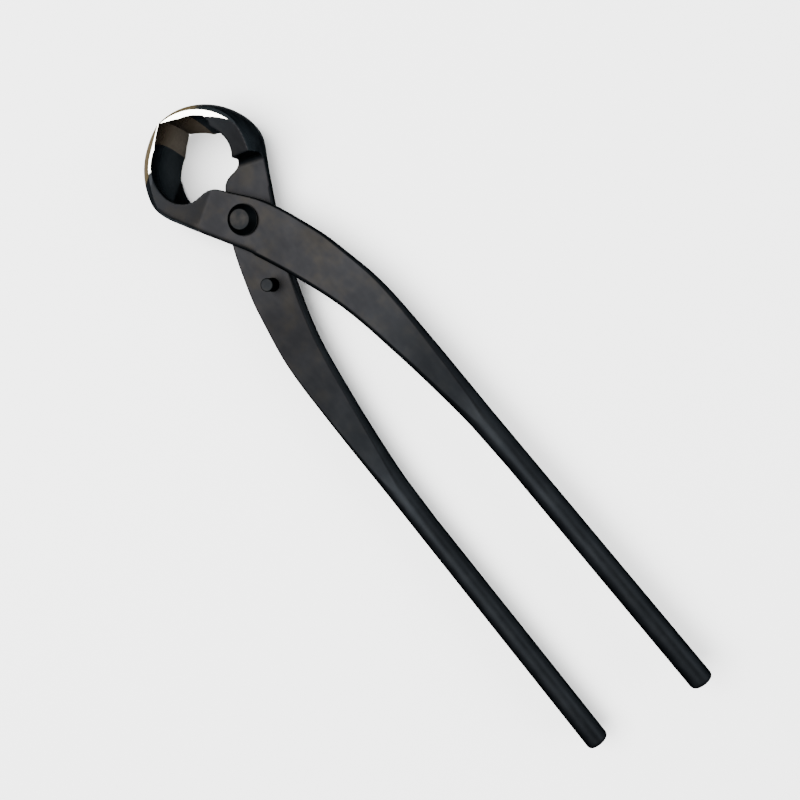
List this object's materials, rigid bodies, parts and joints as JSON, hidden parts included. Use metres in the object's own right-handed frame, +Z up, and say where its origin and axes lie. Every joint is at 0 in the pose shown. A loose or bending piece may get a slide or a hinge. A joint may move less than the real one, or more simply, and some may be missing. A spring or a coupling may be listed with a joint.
{
  "type": "bonsai knob cutter",
  "caption": "Bonsai cutter with hollow ball-shaped jaws, forged levers crossed in a half-lap on a rivet, and long round bar handles.",
  "frame": {"origin": "centre of the closed tool's bounding box, at its lowest level, which is the ground side of the jaws it lies on", "axes": "+Y along the tool towards the jaws, +X across it towards the front lever's handle, +Z up, along the rivet towards its tapered head"},
  "size_m": [0.0546, 0.279, 0.0246],
  "materials": {
    "black_forged_steel": "black oxide over forged steel, satin",
    "black_turned_steel": "black oxide over turned steel, satin"
  },
  "bodies": {
    "rear": {"rear_lever": "black_forged_steel", "pivot_rivet": "black_turned_steel", "stop_pin": "black_turned_steel"},
    "front": {"front_lever": "black_forged_steel"}
  },
  "joints": [
    {"name": "pivot", "type": "hinge", "parent": "rear", "child": "front", "pos_m": [0, 0.09247, 0.0123], "axis": [0, 0, 1], "range_deg": [0, 75]}
  ]
}
